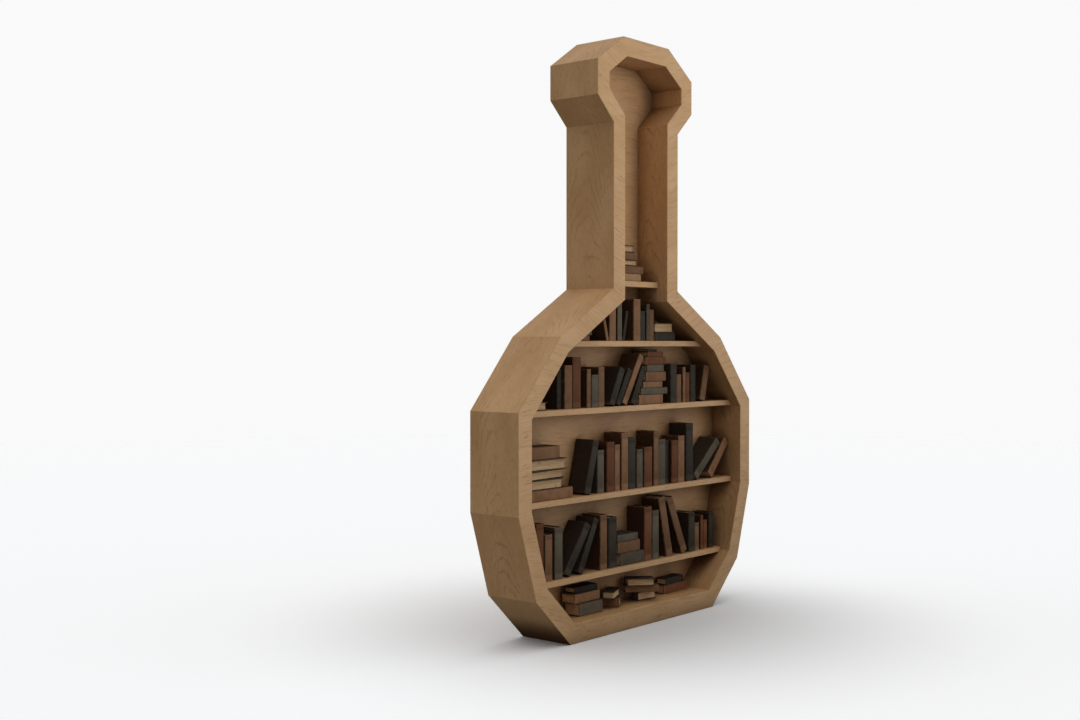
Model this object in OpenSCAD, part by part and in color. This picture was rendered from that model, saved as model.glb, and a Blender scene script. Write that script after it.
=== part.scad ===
// Floor-standing bookcase in the outline of a round-bottomed laboratory flask.
// Twenty mitred wall boards form a closed ring. Five shelves and a two-part back are let into it.
// The books stand, lean and lie on the shelves, and slide out at the front.
// Origin: middle of the case on the floor. The open front faces -Y.

/* [Outline] */
// Overall height
height = 2100; // [2095:1:2120]
// Half width of the base
base_half = 434; // [430:1:438]
// Half width where the flanks break
foot_half = 611; // [608:1:614]
// Half width of the belly
belly_half = 699; // [697:1:705]
// Half width where the shoulders break
shoulder_half = 487; // [485:1:490]
// Half width of the neck
neck_half = 196; // [195:1:198]
// Half width of the rim
rim_half = 286; // [284:1:290]
// Half width of the flat top
top_half = 137; // [130:1:142]

/* [Case] */
// Depth of the case, front to back
depth = 215; // [215:1:240]
// Thickness of the wall boards
wall = 68; // [66:1:69]
// Size of the broken arrises on the wall boards
arris = 1.5; // [1:0.5:3]

/* [Shelves] */
// Thickness of a shelf
shelf_t = 21; // [18:1:21]
// How far the shelf fronts stand behind the case front
shelf_setback = 42; // [40:1:44]
// Depth of the housings and of the back groove in the walls
housing = 6; // [4:1:7]
// Top of the shelf in the neck
neck_shelf_top = 1243; // [1241:1:1243]
// Top of the shelf in the shoulders
shoulder_shelf_top = 1027; // [1026:1:1027]
// Top of the shelf at the top of the belly
upper_shelf_top = 793; // [793:1:794]
// Top of the shelf in the middle of the belly
middle_shelf_top = 489; // [489:1:490]
// Top of the lowest shelf
lower_shelf_top = 216; // [215:1:216]

/* [Back] */
// Thickness of the back panels
panel_t = 9; // [6:1:12]
// How far the back panels stand behind the case front
panel_setback = 135; // [135:1:140]
// Thickness of the rails across the rear recess
rail_t = 28; // [22:1:32]
// Distance between the two wall fixing holes
fixing_spacing = 220; // [200:10:240]
// Diameter of the wall fixing holes
fixing_d = 6; // [5:0.5:8]

/* [Books] */
// Thickness of a cover board
board_t = 3; // [2.5:0.5:3.5]
// How far the pages stand inside the covers
page_inset = 4; // [3:0.5:4.5]
// How far the book spines stand behind the shelf fronts
spine_setback = 10; // [8:1:14]
// Air left between books, and under the upper books of a pile
book_gap = 0.4; // [0.2:0.1:0.5]
// Air left behind the books
rear_gap = 2.5; // [2:0.5:3]

/* [Hidden] */

$fn = 48;

// Tones
oak = [0.70, 0.58, 0.44];
oak_dark = [0.45, 0.29, 0.16];
steel = [0.60, 0.60, 0.62];
brown = [0.41, 0.31, 0.25];
russet = [0.31, 0.20, 0.16];
green = [0.27, 0.27, 0.22];
dark_green = [0.18, 0.18, 0.16];
paper = [0.67, 0.54, 0.38];

// Heights at which the outline breaks
foot_z = 168;
belly_low_z = 456;
belly_high_z = 794;
shoulder_z = 1041;
neck_low_z = 1211;
neck_high_z = 1793;
rim_low_z = 1877;
rim_high_z = 2000;

// Right half of the outline, from the base corner up to the top corner
right_corners = [
    [base_half, 0],
    [foot_half, foot_z],
    [belly_half, belly_low_z],
    [belly_half, belly_high_z],
    [shoulder_half, shoulder_z],
    [neck_half, neck_low_z],
    [neck_half, neck_high_z],
    [rim_half, rim_low_z],
    [rim_half, rim_high_z],
    [top_half, height]
];
half_count = len(right_corners);
corner_count = 2 * half_count;

// Outline of the whole case, anticlockwise seen from the front
function corner(i) =
    let (k = (i + corner_count) % corner_count)
    k < half_count
        ? right_corners[k]
        : [-right_corners[corner_count - 1 - k][0], right_corners[corner_count - 1 - k][1]];

function inward(a, b) = let (d = (b - a) / norm(b - a)) [-d[1], d[0]];

// Corner i of the outline moved inwards by d along its mitre
function inset_corner(i, d) =
    let (n1 = inward(corner(i - 1), corner(i)), n2 = inward(corner(i), corner(i + 1)))
    corner(i) + d * (n1 + n2) / (1 + n1 * n2);

function inset_outline(d) = [for (i = [0 : corner_count - 1]) inset_corner(i, d)];

// Faces across the depth
front_y = -depth / 2;
rear_y = depth / 2;
shelf_y = front_y + shelf_setback;
panel_y = front_y + panel_setback;
spine_y = shelf_y + spine_setback;
book_depth = panel_y - spine_y - rear_gap;

let_in = wall - housing;
panel_joint_z = shoulder_shelf_top - shelf_t / 2;
shelf_tops = [neck_shelf_top, shoulder_shelf_top, upper_shelf_top, middle_shelf_top, lower_shelf_top];

wall_rail_z = [1050, 1140];
lower_rail_z = [100, 170];
access_hole_d = 14;

// Splines across the mitres
spline_w = 30;
spline_t = 6;
spline_stop = 30;

// Back panel screws
screw_r = 1.75;
screw_head_r = 4;
screw_head_h = 2.3;
screw_l = 25;
screw_edge = 5.5;
screw_margin = 30;
screw_pitch = 120;
screw_cross_w = 1;
screw_cross_h = 2.4;

// Bevels along the shelf fronts
bevel = 2;
bevel_stop = 12;

// ---------- Case ----------

// A flat outline in the X-Z plane, given thickness from y0 to y1
module slab(points, y0, y1) {
    translate([0, y1, 0])
        rotate([90, 0, 0])
            linear_extrude(y1 - y0)
                polygon(points);
}

// Everything inside the outline let_in, between two depths and two heights
module fill_between(y0, y1, z0, z1) {
    intersection() {
        slab(inset_outline(let_in), y0, y1);
        translate([-belly_half, y0 - 1, z0])
            cube([2 * belly_half, y1 - y0 + 2, z1 - z0]);
    }
}

module shelf_stock(top) {
    fill_between(shelf_y, panel_y, top - shelf_t, top);
}

module wall_rail_stock() {
    fill_between(rear_y - rail_t, rear_y, wall_rail_z[0], wall_rail_z[1]);
}

module lower_rail_stock() {
    fill_between(rear_y - rail_t, rear_y, lower_rail_z[0], lower_rail_z[1]);
}

// The loose tongue across the mitre at corner i
module spline(i) {
    outer = corner(i);
    inner = inset_corner(i, wall);
    middle = (outer + inner) / 2;
    lean = atan2(inner[1] - outer[1], inner[0] - outer[0]);
    translate([middle[0], 0, middle[1]])
        rotate([0, -lean, 0])
            cube([spline_t, depth - 2 * spline_stop, spline_w], center = true);
}

// Breaks the long arris of board i at depth y, on the outline moved inwards by d
module arris_cut(i, d, y) {
    a = inset_corner(i, d);
    b = inset_corner(i + 1, d);
    run = norm(b - a);
    slope = atan2(b[1] - a[1], b[0] - a[0]);
    side = arris * sqrt(2);
    over = 40;
    translate([a[0], y, a[1]])
        rotate([0, -slope, 0])
            translate([run / 2, 0, 0])
                rotate([45, 0, 0])
                    cube([run + 2 * over, side, side], center = true);
}

// Board i runs from corner i to the next corner. shelves and rails list what is housed in it.
module wall_board(i, shelves = [], rail = "") {
    color(oak)
    difference() {
        slab([corner(i), corner(i + 1), inset_corner(i + 1, wall), inset_corner(i, wall)],
             front_y, rear_y);
        slab(inset_outline(let_in), panel_y, panel_y + panel_t);
        for (top = shelves) shelf_stock(top);
        if (rail == "wall") wall_rail_stock();
        if (rail == "lower") lower_rail_stock();
        spline(i);
        spline(i + 1);
        arris_cut(i, 0, front_y);
        arris_cut(i, 0, rear_y);
        arris_cut(i, wall, front_y);
        arris_cut(i, wall, rear_y);
    }
}

// Number of the board on the left that faces board i on the right
function facing(i) = corner_count - 2 - i;

// ---------- Shelves ----------

// Clear half width between the walls at height z
function clear_half(z) =
    max([for (i = [0 : half_count - 2])
        let (a = inset_corner(i, wall), b = inset_corner(i + 1, wall))
        if (z >= a[1] && z <= b[1])
            a[0] + (b[0] - a[0]) * (z - a[1]) / (b[1] - a[1])]);

// Screw places along a shelf: x positions, evenly spread
function screw_xs(top) =
    let (half = clear_half(top) - screw_margin, n = max(2, round(half / screw_pitch)))
    [for (k = [0 : n - 1]) -half + 2 * half * k / (n - 1)];

// Screw heights for a shelf: the shoulder shelf takes both panels, so it has two rows
function screw_zs(top) =
    top == shoulder_shelf_top
        ? [panel_joint_z - screw_edge, panel_joint_z + screw_edge]
        : [top - shelf_t / 2];

// One countersunk screw, its head at the origin and its point towards -Y
module screw_blank() {
    rotate([90, 0, 0])
        rotate_extrude()
            polygon([
                [0, 0],
                [screw_head_r, 0],
                [screw_r, screw_head_h],
                [screw_r, screw_l],
                [0, screw_l]
            ]);
}

module screw_blanks(top) {
    for (x = screw_xs(top), z = screw_zs(top))
        translate([x, panel_y + panel_t, z])
            screw_blank();
}

module shelf(top) {
    clear = clear_half(top - shelf_t / 2) - bevel_stop;
    color(oak)
    difference() {
        shelf_stock(top);
        screw_blanks(top);
        for (z = [top, top - shelf_t])
            translate([0, shelf_y, z])
                rotate([45, 0, 0])
                    cube([2 * clear, bevel, bevel], center = true);
    }
}

// ---------- Back ----------

module access_holes() {
    for (x = [-fixing_spacing / 2, fixing_spacing / 2])
        translate([x, panel_y - 1, (wall_rail_z[0] + wall_rail_z[1]) / 2])
            rotate([-90, 0, 0])
                cylinder(h = panel_t + 2, d = access_hole_d);
}

module back_panel(z0, z1) {
    color(oak_dark)
    difference() {
        fill_between(panel_y, panel_y + panel_t, z0, z1);
        for (top = shelf_tops) screw_blanks(top);
        access_holes();
    }
}

module wall_rail() {
    color(oak_dark)
    difference() {
        wall_rail_stock();
        for (x = [-fixing_spacing / 2, fixing_spacing / 2])
            translate([x, rear_y - rail_t - 1, (wall_rail_z[0] + wall_rail_z[1]) / 2])
                rotate([-90, 0, 0])
                    cylinder(h = rail_t + 2, d = fixing_d);
    }
}

module lower_rail() {
    color(oak_dark)
    lower_rail_stock();
}

module mitre_splines() {
    color(oak)
    for (i = [0 : corner_count - 1]) spline(i);
}

module panel_screws() {
    color(steel)
    for (top = shelf_tops, x = screw_xs(top), z = screw_zs(top))
        translate([x, panel_y + panel_t, z])
            difference() {
                screw_blank();
                for (turn = [45, 135])
                    rotate([0, turn, 0])
                        cube([screw_head_r + 1, screw_cross_h, screw_cross_w], center = true);
            }
}

// ---------- Books ----------

// A closed book standing on its tail: spine at y = 0 facing -Y, thick along X, tall along Z
module book(thick, tall, deep, tone) {
    pages = thick - 2 * board_t;
    color(tone)
    difference() {
        cube([thick, deep, tall]);
        translate([board_t, deep - page_inset, -1])
            cube([pages, page_inset + 1, tall + 2]);
        translate([board_t, board_t + 1, tall - page_inset])
            cube([pages, deep, page_inset + 1]);
        translate([board_t, board_t + 1, -1])
            cube([pages, deep, page_inset + 1]);
    }
}

// Books side by side from x to the right. Each is [gap before it, thick, tall, set back, tone].
function row_x(books, i) = i == 0 ? books[0][0] : row_x(books, i - 1) + books[i - 1][1] + books[i][0];

module standing(x, shelf_z, books) {
    for (i = [0 : len(books) - 1])
        translate([x + row_x(books, i), spine_y + books[i][3], shelf_z])
            book(books[i][1], books[i][2], book_depth - books[i][3], books[i][4]);
}

// One book tilted about its lower corner at x: a positive angle leans it to the right
module leaning(x, shelf_z, angle, thick, tall, tone) {
    translate([x, spine_y, shelf_z])
        rotate([0, angle, 0])
            translate([angle > 0 ? -thick : 0, 0, 0])
                book(thick, tall, book_depth, tone);
}

// A book on its side, its middle over the origin, long side along X.
// edge is "spine" or "pages", whichever faces the front.
module lying(long, thick, deep, edge, tone) {
    rotate([0, 0, edge == "spine" ? 0 : 180])
        translate([-long / 2, -deep / 2, thick])
            rotate([0, 90, 0])
                book(thick, long, deep, tone);
}

// Books lying on each other. Each is [x, y, long, thick, deep, turn, edge, tone], x and y the middle.
function pile_z(books, i) = i == 0 ? 0 : pile_z(books, i - 1) + books[i - 1][3] + book_gap;

module pile(shelf_z, books) {
    for (i = [0 : len(books) - 1])
        translate([books[i][0], books[i][1], shelf_z + pile_z(books, i)])
            rotate([0, 0, books[i][5]])
                lying(books[i][2], books[i][3], books[i][4], books[i][6], books[i][7]);
}

module neck_pile() {
    pile(neck_shelf_top, [
        [-33, -17, 140, 27, 74, 0, "spine", paper],
        [-23, -18, 150, 28, 72, 0, "spine", brown],
        [-40, -17, 112, 21, 74, 0, "pages", russet],
        [-35, -19, 100, 27, 68, 0, "spine", brown],
        [-38, -20, 78, 25, 56, -8, "pages", dark_green]
    ]);
}

module shoulder_low_books() {
    pile(shoulder_shelf_top, [
        [-300, -18, 74, 19, 70, 0, "spine", brown],
        [-279, -18, 62, 15, 68, 0, "spine", green]
    ]);
    leaning(-168, shoulder_shelf_top, -15, 14, 75, brown);
}

module shoulder_left_row() {
    standing(-147, shoulder_shelf_top, [[0, 39, 131, 3, brown], [4, 27, 134, 0, green]]);
    leaning(-62, shoulder_shelf_top, 12, 13, 108, dark_green);
}

module shoulder_right_row() {
    standing(-7, shoulder_shelf_top, [
        [0, 43, 152, 0, brown],
        [3, 30, 109, 4, dark_green],
        [6, 20, 135, 2, green],
        [4, 26, 115, 5, brown]
    ]);
}

module shoulder_right_pile() {
    pile(shoulder_shelf_top, [
        [190, -18, 124, 31, 74, 0, "spine", dark_green],
        [187, -19, 116, 35, 72, 0, "pages", brown]
    ]);
}

module upper_low_book() {
    pile(upper_shelf_top, [[-535, -20, 88, 28, 66, 0, "pages", brown]]);
}

module upper_left_pair() {
    standing(-426, upper_shelf_top, [
        [0, 22, 138, 12, dark_green],
        [4, 41, 150, 0, brown],
        [7, 45, 178, 4, russet]
    ]);
}

module upper_left_trio() {
    standing(-275, upper_shelf_top, [
        [0, 22, 135, 3, brown],
        [1.5, 39, 115, 0, green],
        [2, 34, 142, 2, brown]
    ]);
}

module upper_leaning_books() {
    leaning(-121, upper_shelf_top, 26, 31, 143, dark_green);
    leaning(-88, upper_shelf_top, 30, 25, 143, dark_green);
    leaning(-50, upper_shelf_top, 31, 28, 203, brown);
    leaning(2, upper_shelf_top, 27, 26, 148, dark_green);
}

module upper_pile() {
    pile(upper_shelf_top, [
        [101, -18, 148, 36, 74, 0, "spine", brown],
        [122, -17, 164, 24, 76, 0, "spine", green],
        [115, -18, 120, 23, 70, 0, "spine", brown],
        [132, -17, 124, 35, 76, 0, "spine", brown],
        [130, -18, 104, 26, 72, 0, "spine", green],
        [129, -17, 130, 29, 76, 0, "spine", russet],
        [131, -18, 98, 18, 70, 0, "spine", russet],
        [112, -20, 66, 9, 60, 6, "spine", dark_green]
    ]);
}

module upper_right_row() {
    standing(228, upper_shelf_top, [
        [0, 39, 148, 0, dark_green],
        [6, 32, 107, 5, brown],
        [5, 18, 134, 2, brown],
        [4, 26, 113, 4, russet],
        [3, 34, 142, 1, dark_green]
    ]);
}

module upper_right_leaning_book() {
    leaning(458, upper_shelf_top, 14, 37, 136, brown);
}

module middle_pile() {
    pile(middle_shelf_top, [
        [-471, -17, 226, 38, 76, 0, "spine", brown],
        [-503, -18, 190, 33, 72, 0, "pages", brown],
        [-493, -19, 192, 30, 66, 4, "pages", russet],
        [-488, -17, 194, 37, 74, 0, "pages", green],
        [-508, -18, 165, 43, 72, 0, "spine", brown]
    ]);
}

module middle_left_leaning_book() {
    leaning(-259, middle_shelf_top, 15, 32, 190, dark_green);
}

module middle_row() {
    standing(-216, middle_shelf_top, [
        [0, 38, 152, 2, green],
        [13, 45, 178, 0, russet],
        [6, 31, 166, 4, brown],
        [4, 40, 207, 0, brown],
        [2, 47, 186, 3, dark_green],
        [10, 38, 141, 5, green],
        [4, 51, 147, 2, russet],
        [6, 31, 203, 0, brown],
        [3, 45, 170, 3, green],
        [2, 34, 163, 14, dark_green],
        [3, 41, 162, 2, russet],
        [4, 44, 177, 4, brown],
        [5, 47, 222, 0, dark_green]
    ]);
}

module middle_right_leaning_books() {
    leaning(407, middle_shelf_top, 50, 35, 204, green);
    leaning(508, middle_shelf_top, 42, 38, 176, brown);
}

module lower_left_row() {
    standing(-549, lower_shelf_top, [
        [0, 39, 198, 0, russet],
        [10, 39, 157, 3, brown],
        [8, 43, 177, 0, green]
    ]);
}

module lower_left_leaning_books() {
    leaning(-374, lower_shelf_top, 36, 33, 200, dark_green);
    leaning(-303, lower_shelf_top, 27, 27, 202, dark_green);
}

module lower_pair() {
    standing(-203, lower_shelf_top, [[0, 41, 196, 0, brown], [12, 48, 181, 3, dark_green]]);
}

module lower_pile() {
    pile(lower_shelf_top, [
        [-14, -17, 142, 44, 76, 0, "spine", green],
        [-33, -18, 132, 42, 72, 0, "spine", brown],
        [-40, -18, 120, 26, 72, 0, "spine", green]
    ]);
}

module lower_tall_pair() {
    standing(60, lower_shelf_top, [[0, 48, 199, 0, russet], [6, 41, 181, 2, green]]);
}

module lower_right_leaning_books() {
    leaning(202, lower_shelf_top, -13.5, 41, 228, brown);
    leaning(302, lower_shelf_top, -25, 37, 232, brown);
}

module lower_right_row() {
    standing(349, lower_shelf_top, [
        [0, 41, 151, 0, dark_green],
        [7, 29, 106, 5, brown],
        [6, 18, 133, 2, russet],
        [5, 26, 112, 4, russet],
        [8, 33, 139, 1, dark_green]
    ]);
}

module base_pile_left() {
    pile(wall, [
        [-247, -12, 130, 44, 73, 0, "spine", green],
        [-258, -8, 144, 34, 64, 1, "spine", brown],
        [-250, -4, 126, 20, 52, 0, "spine", dark_green]
    ]);
}

module base_pile_turned() {
    pile(wall, [
        [-78, -12, 60, 34, 50, -62, "spine", brown],
        [-90, -16, 98, 28, 46, 25, "pages", dark_green]
    ]);
}

module base_pile_crossed() {
    pile(wall, [
        [104, -20, 34, 33, 101, -97, "spine", dark_green],
        [74, -29, 126, 25, 40, -40, "spine", brown],
        [63, -30, 104, 28, 56, -40, "pages", green]
    ]);
}

module base_pile_right() {
    pile(wall, [
        [300, -2, 156, 33, 50, 0, "spine", russet],
        [294, -3, 124, 24, 48, 4, "spine", dark_green]
    ]);
}

wall_board(corner_count - 1);  // base_board
wall_board(0, [lower_shelf_top], "lower");  // lower_flank_right
wall_board(1, [lower_shelf_top]);  // upper_flank_right
wall_board(2, [middle_shelf_top]);  // belly_side_right
wall_board(3, [upper_shelf_top]);  // lower_shoulder_right
wall_board(4, [shoulder_shelf_top], "wall");  // upper_shoulder_right
wall_board(5, [neck_shelf_top]);  // neck_side_right
wall_board(6);  // rim_flare_right
wall_board(7);  // rim_side_right
wall_board(8);  // rim_slant_right
wall_board(9);  // top_board
wall_board(facing(8));  // rim_slant_left
wall_board(facing(7));  // rim_side_left
wall_board(facing(6));  // rim_flare_left
wall_board(facing(5), [neck_shelf_top]);  // neck_side_left
wall_board(facing(4), [shoulder_shelf_top], "wall");  // upper_shoulder_left
wall_board(facing(3), [upper_shelf_top]);  // lower_shoulder_left
wall_board(facing(2), [middle_shelf_top]);  // belly_side_left
wall_board(facing(1), [lower_shelf_top]);  // upper_flank_left
wall_board(facing(0), [lower_shelf_top], "lower");  // lower_flank_left
shelf(neck_shelf_top);  // neck_shelf
shelf(shoulder_shelf_top);  // shoulder_shelf
shelf(upper_shelf_top);  // upper_shelf
shelf(middle_shelf_top);  // middle_shelf
shelf(lower_shelf_top);  // lower_shelf
back_panel(panel_joint_z, height);  // upper_back_panel
back_panel(0, panel_joint_z);  // lower_back_panel
wall_rail();
lower_rail();
mitre_splines();
panel_screws();
neck_pile();
shoulder_low_books();
shoulder_left_row();
shoulder_right_row();
shoulder_right_pile();
upper_low_book();
upper_left_pair();
upper_left_trio();
upper_leaning_books();
upper_pile();
upper_right_row();
upper_right_leaning_book();
middle_pile();
middle_left_leaning_book();
middle_row();
middle_right_leaning_books();
lower_left_row();
lower_left_leaning_books();
lower_pair();
lower_pile();
lower_tall_pair();
lower_right_leaning_books();
lower_right_row();
base_pile_left();
base_pile_turned();
base_pile_crossed();
base_pile_right();
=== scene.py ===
"""Looks for the flask-shaped bookcase: its wood, its old books and the studio around it.

Everything is in metres, in the CAD model's frame: the case stands on z = 0 and its open front faces -Y.
The case keeps its CAD meshes and gets wood materials. Each CAD book is replaced by a bound case and a
block of leaves that fill the same space.
"""

import math
import random
from collections import namedtuple

import bmesh
import bpy
from mathutils import Matrix, Vector


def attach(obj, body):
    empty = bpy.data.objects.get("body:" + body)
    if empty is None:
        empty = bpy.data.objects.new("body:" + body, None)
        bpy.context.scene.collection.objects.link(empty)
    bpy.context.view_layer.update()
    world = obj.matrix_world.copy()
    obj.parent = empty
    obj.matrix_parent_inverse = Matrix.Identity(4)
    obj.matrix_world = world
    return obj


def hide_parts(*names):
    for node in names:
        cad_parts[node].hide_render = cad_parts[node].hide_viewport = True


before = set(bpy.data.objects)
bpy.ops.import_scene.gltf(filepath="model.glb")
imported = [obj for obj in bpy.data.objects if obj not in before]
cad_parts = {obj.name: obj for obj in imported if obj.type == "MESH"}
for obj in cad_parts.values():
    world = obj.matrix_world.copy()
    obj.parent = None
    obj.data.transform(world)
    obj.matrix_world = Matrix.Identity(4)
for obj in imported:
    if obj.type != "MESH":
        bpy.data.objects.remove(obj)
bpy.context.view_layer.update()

MM = 0.001


def srgb(red, green, blue):
    """A linear RGBA colour from 8-bit display values."""
    def linear(value):
        share = value / 255
        return share / 12.92 if share <= 0.04045 else ((share + 0.055) / 1.055) ** 2.4
    return (linear(red), linear(green), linear(blue), 1.0)


# ---------- Camera ----------

CAMERA_PLACE = (-3.933, -2.966, 1.023)
CAMERA_YAW = -49.45
CAMERA_PITCH = -0.77
CAMERA_LENS = 44.75


def make_camera():
    camera = bpy.data.objects.new("camera", bpy.data.cameras.new("camera"))
    camera.data.sensor_width = 36
    camera.data.lens = CAMERA_LENS
    camera.location = CAMERA_PLACE
    camera.rotation_euler = (math.radians(90 + CAMERA_PITCH), 0, math.radians(CAMERA_YAW))
    bpy.context.scene.collection.objects.link(camera)
    bpy.context.scene.camera = camera


make_camera()


# ---------- Material building ----------

class Tree:
    """A material's node tree around its Principled shader."""

    def __init__(self, name):
        self.material = bpy.data.materials.new(name)
        self.material.use_nodes = True
        self.tree = self.material.node_tree
        self.shader = self.tree.nodes["Principled BSDF"]
        self.coords = self.add("TexCoord")

    def add(self, kind, inputs=None, **settings):
        made = self.tree.nodes.new("ShaderNode" + kind)
        for key, value in settings.items():
            setattr(made, key, value)
        for key, value in (inputs or {}).items():
            self.feed(made.inputs[key], value)
        return made

    def feed(self, socket, value):
        if isinstance(value, bpy.types.NodeSocket):
            self.tree.links.new(value, socket)
        else:
            socket.default_value = value

    def math(self, operation, first, second=0.0):
        return self.add("Math", {0: first, 1: second}, operation=operation).outputs[0]

    def vector(self, operation, first, second=(0, 0, 0)):
        return self.add("VectorMath", {0: first, 1: second}, operation=operation).outputs[0]

    def stretch(self, vector, scale, turn=(0, 0, 0), shift=(0, 0, 0)):
        inputs = {"Vector": vector, "Scale": scale, "Rotation": turn, "Location": shift}
        return self.add("Mapping", inputs).outputs[0]

    def noise(self, vector, scale=1.0, detail=2.0, seed=0.0, output=0):
        inputs = {"Vector": vector, "W": seed, "Scale": scale, "Detail": detail}
        return self.add("TexNoise", inputs, noise_dimensions="4D").outputs[output]

    def ramp(self, value, low, high, start=0.0, end=1.0):
        """value rescaled, so that low becomes start and high becomes end, with soft ends."""
        inputs = {"Value": value, "From Min": low, "From Max": high, "To Min": start, "To Max": end}
        return self.add("MapRange", inputs, interpolation_type="SMOOTHSTEP").outputs[0]

    def mix(self, share, first, second, blend="MIX"):
        inputs = {"Fac": share, "Color1": first, "Color2": second}
        return self.add("MixRGB", inputs, blend_type=blend).outputs[0]

    def attribute(self, name):
        return self.add("Attribute", attribute_name=name).outputs["Fac"]

    def finish(self, colour, roughness, height, depth, strength=1.0):
        """Connects the colour, the roughness and a height in units of depth to the shader."""
        bump = self.add("Bump", {"Height": height, "Distance": depth, "Strength": strength})
        self.feed(self.shader.inputs["Base Color"], colour)
        self.feed(self.shader.inputs["Roughness"], roughness)
        self.feed(self.shader.inputs["Normal"], bump.outputs[0])
        return self.material


# ---------- Wood ----------

WOOD_LIGHT = srgb(215, 171, 122)
WOOD_MIDDLE = srgb(201, 155, 105)
WOOD_DARK = srgb(150, 103, 60)
FRONT_LIGHT = srgb(243, 198, 147)
FRONT_MIDDLE = srgb(231, 184, 133)
# Colour of painted shade: corners that little light reaches, and boards that lie in shadow, are mixed towards
# it
PAINTED_SHADE_COLOUR = srgb(86, 47, 24)

RING_SPACING = 72 * MM
RING_FRAYING = 0.2
RING_STRENGTH = 0.48
ARCH_STEEPNESS = 34.0
ARCH_SWAY = 0.42
MIDDLE_SWAY = 0.12
PORE_STRENGTH = 0.3
FLECK_STRENGTH = 0.38
SWIRL_PACE = 5.0
BOARD_SWIRL = 0.09
# Painted shade in corners: how far the occlusion test looks, and how strongly the case and the shelves are
# darkened
PAINTED_SHADE_REACH = 0.10
CASE_PAINTED_SHADE = 0.8
SHELF_PAINTED_SHADE = 0.35


def growth_rings(tree, along, speckle, seed):
    """Share of dark late wood: broken lines along the board that close into arches about its middle."""
    parts = tree.add("SeparateXYZ", {0: along}).outputs
    wander = tree.noise(tree.stretch(along, (3.5, 2, 2)), 1.0, 1, seed + 5)
    wander = tree.math("MULTIPLY", tree.math("SUBTRACT", wander, 0.5), MIDDLE_SWAY)
    aside = tree.math("ADD", parts["Y"], wander)
    arch = tree.math("MULTIPLY", tree.math("MULTIPLY", aside, aside), ARCH_STEEPNESS)
    sway = tree.noise(tree.stretch(along, (2.6, 6, 6)), 1.0, 3, seed)
    bent = tree.math("ADD", parts["X"], tree.math("MULTIPLY", sway, ARCH_SWAY))
    phase = tree.math("DIVIDE", tree.math("ADD", bent, arch), RING_SPACING)
    phase = tree.math("ADD", phase, tree.math("MULTIPLY", speckle, RING_FRAYING))
    ring = tree.math("FRACT", phase)
    late_wood = tree.math("MULTIPLY", tree.ramp(ring, 0.66, 0.92), tree.ramp(ring, 0.93, 1.0, 1.0, 0.0))
    late_wood = tree.math("MULTIPLY", late_wood, tree.ramp(speckle, 0.40, 0.55, 0.2, 1.0))
    fading = tree.noise(tree.stretch(along, (5, 12, 12)), 1.0, 2, seed + 6)
    return tree.math("MULTIPLY", late_wood, tree.ramp(fading, 0.42, 0.62, 0.1, 1.0))


def side_colour(tree, along, fibre, pore, seed):
    """Colour of the wide faces: rings, fibres, pores and cloudy tone along the grain."""
    speckle = tree.noise(tree.stretch(along, (55, 170, 170)), 1.0, 3, seed + 1)
    late_wood = growth_rings(tree, along, speckle, seed)
    cloud = tree.noise(tree.stretch(along, (3.5, 9, 9)), 1.0, 3, seed + 4)
    colour = tree.mix(tree.ramp(cloud, 0.3, 0.7), WOOD_MIDDLE, WOOD_LIGHT)
    colour = tree.mix(tree.ramp(speckle, 0.48, 0.8, 0.0, 0.3), colour, WOOD_DARK)
    colour = tree.mix(tree.ramp(fibre, 0.45, 0.8, 0.0, 0.28), colour, WOOD_DARK)
    colour = tree.mix(tree.math("MULTIPLY", late_wood, RING_STRENGTH), colour, WOOD_DARK)
    return tree.mix(tree.math("MULTIPLY", pore, PORE_STRENGTH), colour, WOOD_DARK)


def front_colour(tree, place, swirl):
    """Colour of the faces towards -Y and +Y: short dark flecks on a figure in waves swirl metres high."""
    across = tree.add("SeparateXYZ", {0: place}).outputs["X"]
    wave = tree.math("MULTIPLY", tree.math("COSINE", tree.math("MULTIPLY", across, SWIRL_PACE)), swirl)
    lift = tree.add("CombineXYZ", {"Z": wave}).outputs[0]
    drift = tree.noise(tree.stretch(place, (2.5, 2.5, 2.5)), 1.0, 1, 7.0, output=1)
    drift = tree.vector("SUBTRACT", drift, (0.5, 0.5, 0.5))
    turned = tree.vector("ADD", place, tree.vector("MULTIPLY", drift, (0.05, 0, 0.09)))
    turned = tree.vector("ADD", turned, lift)
    crowd = tree.noise(tree.stretch(turned, (7, 7, 12)), 1.0, 2, 4.0)
    crowd = tree.ramp(crowd, 0.35, 0.65, 0.12, -0.01)
    fleck = tree.noise(tree.stretch(turned, (32, 32, 190)), 1.0, 2, 3.0)
    fleck = tree.ramp(tree.math("SUBTRACT", fleck, crowd), 0.60, 0.68)
    grain = tree.noise(tree.stretch(turned, (14, 14, 170)), 1.0, 4, 5.0)
    patch = tree.noise(tree.stretch(turned, (4, 4, 13)), 1.0, 3, 9.0)
    colour = tree.mix(tree.ramp(patch, 0.3, 0.7), FRONT_MIDDLE, FRONT_LIGHT)
    colour = tree.mix(tree.ramp(grain, 0.45, 0.8, 0.0, 0.35), colour, WOOD_DARK)
    return tree.mix(tree.math("MULTIPLY", fleck, FLECK_STRENGTH), colour, WOOD_DARK)


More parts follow.
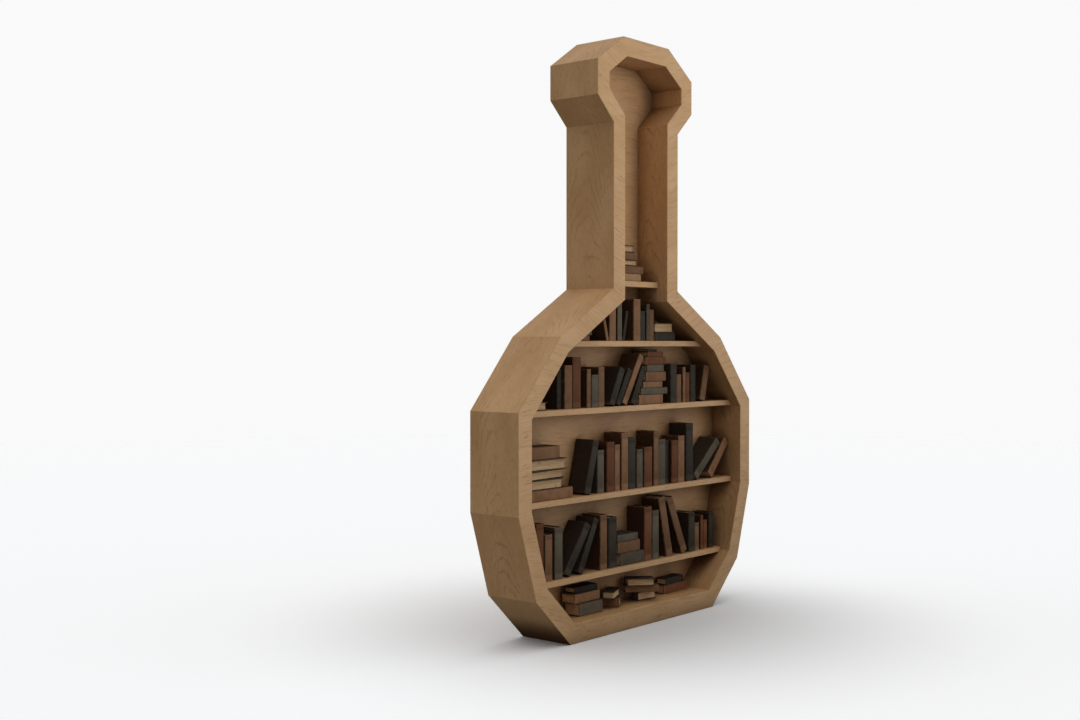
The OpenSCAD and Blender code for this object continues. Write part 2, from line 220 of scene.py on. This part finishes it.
def wood(name, slope, seed, swirl=0.0, corner_shade=CASE_PAINTED_SHADE, board_shade=0.0):
    """Wood whose grain runs at slope radians in the X-Z plane, cut from its own place in a log.

    Corners that little light reaches get a painted shade up to one given share, and the wide faces of a board
    in shadow get a painted shade by another share.
    """
    tree = Tree(name)
    place = tree.coords.outputs["Object"]
    chance = random.Random(seed)
    shift = (chance.uniform(0, 9), chance.uniform(-25, 25) * MM, chance.uniform(-15, 15) * MM)
    along = tree.stretch(place, (1, 1, 1), (0, slope, 0), shift)
    fibre = tree.noise(tree.stretch(along, (22, 300, 300)), 1.0, 4, seed + 2)
    pore = tree.ramp(tree.noise(tree.stretch(along, (55, 420, 420)), 1.0, 2, seed + 3), 0.62, 0.72)

    # Painted shade over the wide faces of boards that lie in shadow
    side = tree.mix(board_shade, side_colour(tree, along, fibre, pore, seed), PAINTED_SHADE_COLOUR)
    front = front_colour(tree, place, swirl)
    normal = tree.vector("ABSOLUTE", tree.coords.outputs["Normal"])
    frontward = tree.add("SeparateXYZ", {0: normal}).outputs["Y"]
    colour = tree.mix(tree.ramp(frontward, 0.75, 0.95), side, front)
    # Painted shade: darker where the ambient occlusion finds parts close by, in corners and recesses
    open_sky = tree.add("AmbientOcclusion", {"Distance": PAINTED_SHADE_REACH}, samples=8).outputs["AO"]
    colour = tree.mix(tree.ramp(open_sky, 0.2, 0.88, corner_shade, 0.0), colour, PAINTED_SHADE_COLOUR)

    rough = tree.ramp(fibre, 0.2, 0.8, 0.45, 0.62)
    height = tree.math("SUBTRACT", fibre, tree.math("MULTIPLY", pore, 0.8))
    tree.shader.inputs["Specular IOR Level"].default_value = 0.3
    return tree.finish(colour, rough, height, 0.25 * MM, 0.5)


def wood_slope(cad_node):
    """Slope of a board in the X-Z plane, from its widest face that isn't a front or rear face."""
    areas = {}
    for face in cad_node.data.polygons:
        normal = face.normal
        if abs(normal.y) < 0.1:
            slope = round(math.atan2(normal.x, -normal.z) % math.pi, 3)
            areas[slope] = areas.get(slope, 0) + face.area
    return max(areas, key=areas.get)


def dress(name, material):
    """Gives every material slot of a CAD node the same material."""
    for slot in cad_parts[name].material_slots:
        slot.material = material


SHELVES = ["neck_shelf", "shoulder_shelf", "upper_shelf", "middle_shelf", "lower_shelf"]
RAILS = ["wall_rail", "lower_rail"]
PANELS = ["upper_back_panel", "lower_back_panel"]
LOOSE = ["mitre_splines", "panel_screws"]

# Boards whose wide faces get a painted shade because they lie in shadow, with the share of that shade
SHADED_BOARDS = {"rim_slant_right": 0.35, "top_board": 0.3}


def steel(name):
    """Zinc-plated screw steel with faint turning marks."""
    tree = Tree(name)
    place = tree.coords.outputs["Object"]
    marks = tree.noise(tree.stretch(place, (900, 3000, 900)), 1.0, 3)
    dull = tree.noise(place, 260, 4)
    tree.shader.inputs["Metallic"].default_value = 1.0
    colour = tree.mix(tree.ramp(dull, 0.35, 0.7), srgb(188, 186, 180), srgb(140, 136, 128))
    return tree.finish(colour, tree.ramp(dull, 0.3, 0.7, 0.28, 0.5), marks, 0.05 * MM, 0.4)


def dress_case():
    books = set(BOOKS)
    boards = [name for name in sorted(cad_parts)
              if name not in books and name not in SHELVES + RAILS + PANELS + LOOSE]
    for seed, name in enumerate(boards):
        slope = wood_slope(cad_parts[name])
        swirl = 0.0 if name == "base_board" else BOARD_SWIRL
        dress(name, wood(name + "_wood", slope, seed, swirl=swirl, board_shade=SHADED_BOARDS.get(name, 0.0)))
    for seed, name in enumerate(SHELVES + RAILS, 30):
        dress(name, wood(name + "_wood", 0.0, seed, corner_shade=SHELF_PAINTED_SHADE))
    for seed, name in enumerate(PANELS, 40):
        dress(name, wood(name + "_wood", 0.0, seed))
    dress("mitre_splines", wood("spline_wood", math.pi / 2, 50))
    dress("panel_screws", steel("screw_steel"))


# ---------- Books ----------

# Bindings of each group: b brown, r russet, g green, d dark green, t tan.
# Rows go from left to right and piles from the bottom up.
BOOKS = {
    "neck_pile": "tbrbd",
    "shoulder_low_books": "bgb",
    "shoulder_left_row": "bgd",
    "shoulder_right_row": "bdgb",
    "shoulder_right_pile": "db",
    "upper_low_book": "b",
    "upper_left_pair": "dbr",
    "upper_left_trio": "bgb",
    "upper_leaning_books": "ddbd",
    "upper_pile": "bgbbgrrd",
    "upper_right_row": "dbbrd",
    "upper_right_leaning_book": "b",
    "middle_pile": "bgdgb",
    "middle_left_leaning_book": "d",
    "middle_row": "grbbdgrbgdrbd",
    "middle_right_leaning_books": "gb",
    "lower_left_row": "rbg",
    "lower_left_leaning_books": "dd",
    "lower_pair": "bd",
    "lower_pile": "gbg",
    "lower_tall_pair": "rg",
    "lower_right_leaning_books": "bb",
    "lower_right_row": "dbrrd",
    "base_pile_left": "gbd",
    "base_pile_turned": "bd",
    "base_pile_crossed": "dbg",
    "base_pile_right": "rd",
}

SLOTS = {"b": "book_brown", "r": "book_russet", "g": "book_green", "d": "book_dark_green", "t": "book_tan"}

# Colours of each binding: the spine, its darker patches, rubbed places, and the covers, a dark colour that
# paints the shade between the books
LEATHERS = {
    "b": (srgb(153, 113, 82), srgb(140, 102, 72), srgb(186, 148, 110), srgb(70, 46, 33)),
    "r": (srgb(130, 84, 56), srgb(119, 76, 49), srgb(160, 112, 78), srgb(64, 40, 30)),
    "g": (srgb(106, 99, 84), srgb(97, 90, 76), srgb(160, 134, 102), srgb(56, 48, 40)),
    "d": (srgb(66, 62, 56), srgb(58, 55, 48), srgb(126, 106, 82), srgb(50, 39, 31)),
    "t": (srgb(206, 168, 124), srgb(190, 153, 110), srgb(216, 182, 140), srgb(110, 84, 58)),
}

PAPER_LIGHT = srgb(247, 215, 170)
PAPER_MIDDLE = srgb(208, 170, 126)
PAPER_DARK = srgb(186, 147, 106)
PAPER_STAIN = srgb(168, 122, 80)

BOARD = 3.0 * MM
PAGE_INSET = 4.0 * MM
SPINE_SKIN = 2.8 * MM
EDGE = 0.35 * MM
SHARP_ANGLE = math.radians(38)

# The spine's rounding, as a share of the book's thickness within a range
CROWN_SHARE = 0.06
CROWN_RANGE = (0.8 * MM, 2.4 * MM)
ARC_STEPS = 12
# Arc points less bowed than this share take the cover colour, a painted shade at the spine's edges between
# books
SPINE_LIT_BOW = 0.4

# The joint groove beside the spine: its depth, and the places of its slopes behind the spine's crown
GROOVE_DEPTH = 0.7 * MM
GROOVE_START = 3 * MM
GROOVE_FLOOR = 5 * MM
GROOVE_RISE = 7 * MM
GROOVE_END = 9 * MM
INNER_HINGE = 8 * MM

# How far wear reaches in from a cover's fore edge and from a book's ends
FORE_WEAR = 4 * MM
END_WEAR = 3 * MM

# Pressed lines across the spine, in pairs that start at these shares of its height, with their half widths
LINE_PAIRS = (0.10, 0.88)
LINE_GAP = 4 * MM
LINE_DEPTH = 0.4 * MM
LINE_FLOOR = 0.3 * MM
LINE_RIM = 0.9 * MM

# The leaves: bundles with narrow gaps between them, each a little out of line with the next
LEAF_BUNDLE = 1.3 * MM
BUNDLE_EDGES = (0.06, 0.94)
FORE_RAGGED = 0.5 * MM
HEAD_RAGGED = 0.35 * MM
FORE_HOLLOW = 0.9
COVER_GAP = 0.05 * MM
SPINE_GAP = 0.3 * MM

BAND_RADIUS = 0.9 * MM
BAND_SIDES = 8
BAND_SETBACK = 1.3 * MM

# How CAD books are read: corners this close are one, and directions with a dot product above PARALLEL are one
WELD = 0.01 * MM
PARALLEL = 0.99
END_DEPTH = 0.1 * MM


def leather(name, base, dark, worn, cover):
    """Old book cloth or leather: mottled, grained, and rubbed pale where the wear attribute is high.

    An attribute is 1 on the spine and 0 on the covers and the spine's edges, which take the cover colour as
    painted shade.
    """
    tree = Tree(name)
    place = tree.coords.outputs["Object"]
    shade = tree.attribute("shade")
    seed = tree.math("MULTIPLY", shade, 40.0)
    mottle = tree.noise(place, 38, 5, seed)
    grain = tree.noise(place, 900, 3, seed)
    pebble = tree.add("TexVoronoi", {"Vector": place, "Scale": 850.0}, feature="SMOOTH_F1").outputs[0]
    scuff = tree.noise(tree.stretch(place, (420, 120, 60)), 1.0, 4, seed)

    colour = tree.mix(tree.ramp(mottle, 0.34, 0.66), dark, base)
    # Painted shade: the covers and the spine's edges take the dark cover colour
    colour = tree.mix(tree.attribute("spine_lit"), cover, colour)
    lift = tree.ramp(shade, 0.0, 1.0, 0.82, 1.16)
    bright = tree.add("CombineColor", {0: lift, 1: lift, 2: lift}).outputs[0]
    colour = tree.mix(1.0, colour, bright, "MULTIPLY")
    rubbed = tree.math("MULTIPLY", tree.attribute("wear"), tree.ramp(scuff, 0.3, 0.62))
    scratched = tree.math("MULTIPLY", tree.ramp(scuff, 0.66, 0.76), 0.35)
    colour = tree.mix(tree.math("MAXIMUM", rubbed, scratched), colour, worn)

    rough = tree.ramp(mottle, 0.3, 0.7, 0.55, 0.75)
    height = tree.math("ADD", grain, tree.math("MULTIPLY", pebble, 0.7))
    tree.shader.inputs["Specular IOR Level"].default_value = 0.12
    return tree.finish(colour, rough, height, 0.18 * MM, 0.6)


def leaves(name):
    """The edges of aged paper: fine lines along the leaves, darker bundles and brown stains."""
    tree = Tree(name)
    place = tree.coords.outputs["Object"]
    seed = tree.math("MULTIPLY", tree.attribute("shade"), 25.0)
    lines = tree.noise(tree.stretch(place, (2100, 22, 14)), 1.0, 2, seed)
    bands = tree.noise(tree.stretch(place, (420, 9, 7)), 1.0, 3, seed)
    foxing = tree.noise(place, 60, 5, seed)
    colour = tree.mix(tree.ramp(lines, 0.3, 0.7), PAPER_MIDDLE, PAPER_LIGHT)
    colour = tree.mix(tree.ramp(bands, 0.35, 0.65, 0.0, 0.5), colour, PAPER_DARK)
    colour = tree.mix(tree.ramp(foxing, 0.55, 0.75, 0.0, 0.5), colour, PAPER_STAIN)
    height = tree.math("ADD", lines, tree.math("MULTIPLY", bands, 0.8))
    tree.shader.inputs["Specular IOR Level"].default_value = 0.15
    return tree.finish(colour, 0.85, height, 0.3 * MM, 0.8)


def thread(name):
    """Two-coloured sewing thread of a headband, in stripes across the spine's width."""
    tree = Tree(name)
    place = tree.coords.outputs["Object"]
    inputs = {"Vector": place, "Scale": 130.0, "Distortion": 0.3}
    stripes = tree.add("TexWave", inputs, bands_direction="X").outputs["Fac"]
    colour = tree.mix(tree.ramp(stripes, 0.4, 0.6), srgb(150, 128, 96), srgb(92, 48, 38))
    return tree.finish(colour, 0.8, stripes, 0.3 * MM, 0.6)


def loft(mesh, rings, slot=0):
    """Adds a closed skin over equal rings of points to a bmesh, capped at both ends. Returns its vertices."""
    rows = [[mesh.verts.new(point) for point in ring] for ring in rings]
    count = len(rings[0])
    made = []
    for near, far in zip(rows, rows[1:]):
        for k in range(count):
            after = (k + 1) % count
            made.append(mesh.faces.new((near[k], near[after], far[after], far[k])))
    made.append(mesh.faces.new(rows[0][::-1]))
    made.append(mesh.faces.new(rows[-1]))
    for face in made:
        face.material_index = slot
    return rows


def arc(width, left, crown, front):
    """Points of a rounded spine from left to right: the middle is at y = front, the sides crown behind it."""
    points = []
    for step in range(ARC_STEPS + 1):
        turn = math.pi * step / ARC_STEPS
        points.append((left + width / 2 * (1 - math.cos(turn)), front + crown * (1 - math.sin(turn))))
    return points


def crown_of(thick):
    """How far a rounded spine stands proud of its shoulders."""
    least, most = CROWN_RANGE
    return min(max(CROWN_SHARE * thick, least), most)


def case_outline(thick, deep, sink):
    """Cross-section of a bound case: points (x, y, wear, spine colour share), where the share is 1 on the
    spine and 0 on the covers and spine edges that painted shade darkens. sink is how deep the spine lies.
    """
    crown = crown_of(thick)
    outer_side = [
        (EDGE, deep, 0.3, 0),
        (0, deep - EDGE, 0.4, 0),
        (0, deep - FORE_WEAR, 0.1, 0),
        (0, crown + GROOVE_END, 0.0, 0),
        (GROOVE_DEPTH, crown + GROOVE_RISE, 0.0, 0),
        (GROOVE_DEPTH, crown + GROOVE_FLOOR, 0.0, 0),
        (0, crown + GROOVE_START, 0.2, 0),
    ]
    inner_side = [
        (BOARD - EDGE, deep, 0.3, 0),
        (BOARD, deep - EDGE, 0.2, 0),
        (BOARD, crown + INNER_HINGE, 0.0, 0),
    ]
    outer_arc = []
    for step, (x, y) in enumerate(arc(thick, 0, crown, 0)):
        bow = math.sin(math.pi * step / ARC_STEPS)
        wear = max(0.0, 1 - 2.4 * bow) * 0.35 + 0.08
        # Spine points near its edges get 0, so that painted shade darkens them
        outer_arc.append((x, y + sink * bow, wear, int(bow > SPINE_LIT_BOW)))
    inner_arc = [(x, y, 0.0, 0) for x, y in arc(thick - 2 * BOARD, BOARD, crown, SPINE_SKIN)]
    left = outer_side + outer_arc
    right_side = [(thick - x, *rest) for x, *rest in outer_side[::-1]]
    right_inner_side = [(thick - x, *rest) for x, *rest in inner_side]
    return left + right_side + right_inner_side + inner_arc[::-1] + inner_side[::-1]


def shrunk(points, amount):
    """A closed outline moved inwards by amount."""
    count = len(points)
    moved = []
    for k, (x, y, *rest) in enumerate(points):
        before = points[k - 1]
        after = points[(k + 1) % count]
        run = Vector((after[0] - before[0], after[1] - before[1]))
        run.normalize()
        moved.append((x - run.y * amount, y + run.x * amount, *rest))
    return moved


def stations(tall):
    """Heights along a book, each with how deep its spine lies there and how worn it is.

    Two pairs of pressed lines run across the spine, near its tail and near its head.
    """
    rows = [(0.0, 0.0, 0.4), (EDGE, 0.0, 0.4), (END_WEAR, 0.0, 0.1)]
    for middle in [share * tall + gap for share in LINE_PAIRS for gap in (0, LINE_GAP)]:
        rows += [
            (middle - LINE_RIM, 0.0, 0.0),
            (middle - LINE_FLOOR, LINE_DEPTH, 0.0),
            (middle + LINE_FLOOR, LINE_DEPTH, 0.0),
            (middle + LINE_RIM, 0.0, 0.0),
        ]
    rows += [(tall - END_WEAR, 0.0, 0.1), (tall - EDGE, 0.0, 0.5), (tall, 0.0, 0.4)]
    return rows


def link_piece(mesh, name, place, materials, body):
    """Turns a bmesh into an object at place, riding on a body."""
    bmesh.ops.recalc_face_normals(mesh, faces=mesh.faces)
    data = bpy.data.meshes.new(name)
    mesh.to_mesh(data)
    mesh.free()
    for material in materials:
        data.materials.append(material)
    piece = bpy.data.objects.new(name, data)
    piece.matrix_world = place
    bpy.context.scene.collection.objects.link(piece)
    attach(piece, body)
    return piece


def store(data, name, value):
    """Writes one number to every vertex of a mesh."""
    layer = data.attributes.new(name, "FLOAT", "POINT")
    layer.data.foreach_set("value", [value] * len(data.vertices))


def make_case(name, size, place, tone, shade, body):
    thick, deep, tall = size
    mesh = bmesh.new()
    wear_layer = mesh.verts.layers.float.new("wear")
    # 1 on the spine, 0 where painted shade darkens the covers and the spine's edges
    spine_lit_layer = mesh.verts.layers.float.new("spine_lit")
    rings = []
    looks = []
    for height, sink, end_wear in stations(tall):
        outline = case_outline(thick, deep, sink)
        # The end rings stand proud of the sides by EDGE
        if height in (0.0, tall):
            outline = shrunk(outline, -EDGE)
        rings.append([(x, y, height) for x, y, wear, spine_lit in outline])
        looks.append([(max(wear, end_wear), spine_lit) for x, y, wear, spine_lit in outline])
    rows = loft(mesh, rings)
    for row, values in zip(rows, looks):
        for vertex, (wear, spine_lit) in zip(row, values):
            vertex[wear_layer] = wear
            vertex[spine_lit_layer] = spine_lit
    case = link_piece(mesh, name + "_case", place, [MATERIALS[tone]], body)
    store(case.data, "shade", shade)
    case.data.shade_smooth()
    case.data.set_sharp_from_angle(angle=SHARP_ANGLE)
    return case


def page_rings(size, chance):
    """Rings of a block of leaves: bundles side by side, each a little out of line with the next."""
    thick, deep, tall = size
    crown = crown_of(thick)
    low = BOARD + COVER_GAP
    width = thick - 2 * low
    bundles = max(3, round(width / LEAF_BUNDLE))
    rings = []
    for k in range(bundles):
        out = chance.uniform(0, FORE_RAGGED)
        top = chance.uniform(0, HEAD_RAGGED)
        for edge in BUNDLE_EDGES:
            share = (k + edge) / bundles
            bow = math.sin(math.pi * share)
            back = SPINE_SKIN + crown * (1 - bow) + SPINE_GAP
            fore = deep - PAGE_INSET - FORE_HOLLOW * crown * bow - out
            bottom = PAGE_INSET + top
            head = tall - PAGE_INSET - top
            x = low + width * share
            rings.append([(x, back, bottom), (x, fore, bottom), (x, fore, head), (x, back, head)])
    return rings


def headband_rings(size, height):
    """Rings of a rolled band that follows the spine's inside at the head or tail of the leaves."""
    thick = size[0]
    crown = crown_of(thick)
    width = thick - 2 * BOARD - 2 * BAND_RADIUS
    path = arc(width, BOARD + BAND_RADIUS, crown, SPINE_SKIN + BAND_SETBACK)
    rings = []
    for k, (x, y) in enumerate(path):
        before = path[max(k - 1, 0)]
        after = path[min(k + 1, len(path) - 1)]
        run = Vector((after[0] - before[0], after[1] - before[1], 0)).normalized()
        side = Vector((-run.y, run.x, 0))
        ring = []
        for step in range(BAND_SIDES):
            turn = math.tau * step / BAND_SIDES
            offset = side * BAND_RADIUS * math.cos(turn) + Vector((0, 0, BAND_RADIUS * math.sin(turn)))
            ring.append(Vector((x, y, height)) + offset)
        rings.append(ring)
    return rings


def make_pages(name, size, place, shade, chance, body):
    mesh = bmesh.new()
    loft(mesh, page_rings(size, chance))
    for height in (PAGE_INSET, size[2] - PAGE_INSET):
        loft(mesh, headband_rings(size, height), 1)
    pages = link_piece(mesh, name + "_pages", place, [MATERIALS["pages"], MATERIALS["thread"]],
                       body)
    store(pages.data, "shade", shade)
    return pages


Face = namedtuple("Face", "centre normal area corners")


def split_books(cad_node):
    """The separate solids of a CAD node, each as a list of its Faces.

    Faces are taken in the mesh's own order, so that every run measures a book from the same ones.
    """
    mesh = bmesh.new()
    mesh.from_mesh(cad_node.data)
    bmesh.ops.remove_doubles(mesh, verts=mesh.verts, dist=WELD)
    seen = set()
    solids = []
    for first in mesh.faces:
        if first in seen:
            continue
        seen.add(first)
        solid = [first]
        for face in solid:
            for edge in face.edges:
                near = [other for other in edge.link_faces if other not in seen]
                seen.update(near)
                solid += near
        solids.append([Face(face.calc_center_median(), face.normal.copy(), face.calc_area(),
                            [corner.co.copy() for corner in face.verts]) for face in solid])
    mesh.free()
    return solids


def book_frame(solid):
    """Size (thick, deep, tall) and placement of a CAD book, with its spine at y = 0 and its tail at z = 0."""
    directions = []
    for face in solid:
        for entry in directions:
            if abs(entry[0].dot(face.normal)) > PARALLEL:
                entry[1] += face.area
                break
        else:
            directions.append([face.normal, face.area])
    directions.sort(key=lambda entry: -entry[1])
    across = directions[0][0]
    others = [entry[0] for entry in directions[1:3]]
    points = [corner for face in solid for corner in face.corners]

    def reach(axis):
        return max(point.dot(axis) for point in points)

    def covered(axis):
        """Share of the book's end in this direction that its outermost faces cover."""
        far = reach(axis)
        other = [direction for direction in others if abs(direction.dot(axis)) < 0.5][0]
        whole = (reach(across) + reach(-across)) * (reach(other) + reach(-other))
        return sum(face.area for face in solid
                   if face.normal.dot(axis) > PARALLEL and face.centre.dot(axis) > far - END_DEPTH) / whole

    spine = max([axis * sign for axis in others for sign in (1, -1)], key=covered)
    deep_axis = -spine
    tall_axis = [axis for axis in others if abs(axis.dot(spine)) < 0.5][0]
    thick_axis = deep_axis.cross(tall_axis)
    upward = tall_axis.z if abs(tall_axis.z) > 0.3 else thick_axis.z
    if upward < 0:
        tall_axis = -tall_axis
        thick_axis = -thick_axis
    axes = (thick_axis, deep_axis, tall_axis)
    size = [reach(axis) + reach(-axis) for axis in axes]
    place = Matrix([list(axis) for axis in axes]).transposed().to_4x4()
    place.translation = sum((axis * -reach(-axis) for axis in axes), Vector())
    return size, place


def book_order(group):
    """What books are sorted by: height in a pile, place from left to right elsewhere."""
    upward = "pile" in group
    return lambda book: book[1].translation.z if upward else (book[1] @ Vector(book[0]) / 2
                                                               + book[1].translation / 2).x


def make_books():
    for group, tones in BOOKS.items():
        chance = random.Random(group)
        found = sorted([book_frame(solid) for solid in split_books(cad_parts[group])],
                       key=book_order(group))
        for number, ((size, place), tone) in enumerate(zip(found, tones), 1):
            name = f"{group}_{number:02d}"
            shade = chance.random()
            case = make_case(name, size, place, tone, shade, group)
            make_pages(name, size, place, shade, chance, group)
            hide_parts(group)


MATERIALS = {tone: leather("leather_" + SLOTS[tone], *colours) for tone, colours in LEATHERS.items()}
MATERIALS["pages"] = leaves("paper_edges")
MATERIALS["thread"] = thread("headband_thread")

dress_case()
make_books()


# ---------- Studio ----------

FLOOR_RADIUS = 14.0
FLOOR_SEGMENTS = 96
FLOOR_DROP = 0.5 * MM
FLOOR_FADE = (4.0, 12.0)
# The floor's tone rises from its near value to its far value over this reach of distance: painted shade round
# the case
FLOOR_GAIN = (0.91, 1.36)
FLOOR_GAIN_REACH = (0.0, 1.45)
FLOOR_TINT = (0.99, 1.0, 1.01, 1.0)
GROUND_SIZE = (4.0, 3.4)
GROUND_DROP = 1.0 * MM
GROUND_GLOW = 0.22
GROUND_GLOW_REACH = (-0.4, -0.75)
DOME_RADIUS = 18.0
DOME_SEGMENTS = (48, 24)
BACKDROP = 0.95

# Soft lamps all round, each a direction and a strength. Those from below stand for light off the far floor.
LAMPS = [
    ((0, 0, 1), 0.98),
    ((1, 0, 0), 0.22),
    ((1, 1, 1), 0.32),
    ((1, -1, 1), 0.55),
    ((-1, 1, 1), 0.61),
    ((-1, -1, 1), 0.26),
    ((1, -1, -1), 1.24),
    ((-1, -1, -1), 0.50),
]
LAMP_FOCUS = 4


def glow(tree, level):
    """Turns a tree's shader into a plain white glow."""
    tree.feed(tree.shader.inputs["Base Color"], (0, 0, 0, 1))
    tree.feed(tree.shader.inputs["Specular IOR Level"], 0.0)
    tree.feed(tree.shader.inputs["Emission Color"], (1, 1, 1, 1))
    tree.feed(tree.shader.inputs["Emission Strength"], level)
    return tree.material


def ground_material():
    """Dark ground that shades the lower parts, paler towards its left end."""
    tree = Tree("ground_shade")
    across = tree.add("SeparateXYZ", {0: tree.coords.outputs["Object"]}).outputs["X"]
    return glow(tree, tree.ramp(across, *GROUND_GLOW_REACH, 0.0, GROUND_GLOW))


def floor_material():
    """Pale matt floor, darker round the case with painted shade, that fades into the backdrop with distance.
    """
    tree = Tree("studio_floor")
    place = tree.coords.outputs["Object"]
    distance = tree.add("VectorMath", {0: place}, operation="LENGTH").outputs["Value"]
    speckle = tree.ramp(tree.noise(place, 60, 3), 0.3, 0.7, 0.99, 1.01)
    # Painted shade: the tone is lower near the case
    tone = tree.math("MULTIPLY", speckle, tree.ramp(distance, *FLOOR_GAIN_REACH, *FLOOR_GAIN))
    colour = tree.add("CombineColor", {0: tone, 1: tone, 2: tone}).outputs[0]
    colour = tree.mix(1.0, colour, FLOOR_TINT, "MULTIPLY")
    tree.feed(tree.shader.inputs["Alpha"], tree.ramp(distance, *FLOOR_FADE, 1.0, 0.0))
    tree.shader.inputs["Specular IOR Level"].default_value = 0.0
    return tree.finish(colour, 1.0, speckle, 0.1 * MM, 0.1)


def stage_piece(mesh, name, material):
    """Turns a bmesh into a piece of the studio."""
    data = bpy.data.meshes.new(name)
    mesh.to_mesh(data)
    mesh.free()
    data.materials.append(material)
    piece = bpy.data.objects.new(name, data)
    bpy.context.scene.collection.objects.link(piece)
    return piece


def make_floor():
    mesh = bmesh.new()
    bmesh.ops.create_circle(mesh, cap_ends=True, radius=FLOOR_RADIUS, segments=FLOOR_SEGMENTS)
    bmesh.ops.translate(mesh, verts=mesh.verts, vec=(0, 0, -FLOOR_DROP))
    return stage_piece(mesh, "floor", floor_material())


def make_ground():
    mesh = bmesh.new()
    bmesh.ops.create_grid(mesh, size=0.5)
    bmesh.ops.scale(mesh, verts=mesh.verts, vec=(*GROUND_SIZE, 1))
    bmesh.ops.translate(mesh, verts=mesh.verts, vec=(0, 0, -GROUND_DROP))
    return stage_piece(mesh, "ground_shade", ground_material())


def make_dome():
    """A white backdrop all round."""
    mesh = bmesh.new()
    around, upward = DOME_SEGMENTS
    bmesh.ops.create_uvsphere(mesh, u_segments=around, v_segments=upward, radius=DOME_RADIUS)
    return stage_piece(mesh, "backdrop", glow(Tree("backdrop_white"), BACKDROP))


def only_seen(piece):
    """The piece shows in the picture, but neither lights nor shades anything."""
    piece.visible_diffuse = False
    piece.visible_glossy = False
    piece.visible_transmission = False
    piece.visible_shadow = False


def make_world():
    """Soft light from the LAMPS' directions."""
    scene = bpy.context.scene
    scene.world = bpy.data.worlds.new("studio")
    scene.world.use_nodes = True
    tree = scene.world.node_tree
    coords = tree.nodes.new("ShaderNodeTexCoord")

    def math_node(operation, first, second):
        made = tree.nodes.new("ShaderNodeMath")
        made.operation = operation
        for socket, value in zip(made.inputs, (first, second)):
            if isinstance(value, bpy.types.NodeSocket):
                tree.links.new(value, socket)
            else:
                socket.default_value = value
        return made.outputs[0]

    total = 0.0
    for direction, strength in LAMPS:
        facing = tree.nodes.new("ShaderNodeVectorMath")
        facing.operation = "DOT_PRODUCT"
        facing.inputs[1].default_value = Vector(direction).normalized()
        tree.links.new(coords.outputs["Generated"], facing.inputs[0])
        share = math_node("POWER", math_node("MAXIMUM", facing.outputs["Value"], 0.0), LAMP_FOCUS)
        total = math_node("ADD", math_node("MULTIPLY", share, strength), total)
    tree.links.new(total, tree.nodes["Background"].inputs["Strength"])
    tree.nodes["Background"].inputs["Color"].default_value = (1, 1, 1, 1)
    scene.view_settings.view_transform = "Standard"


only_seen(make_floor())
only_seen(make_dome())
make_ground().visible_camera = False
make_world()
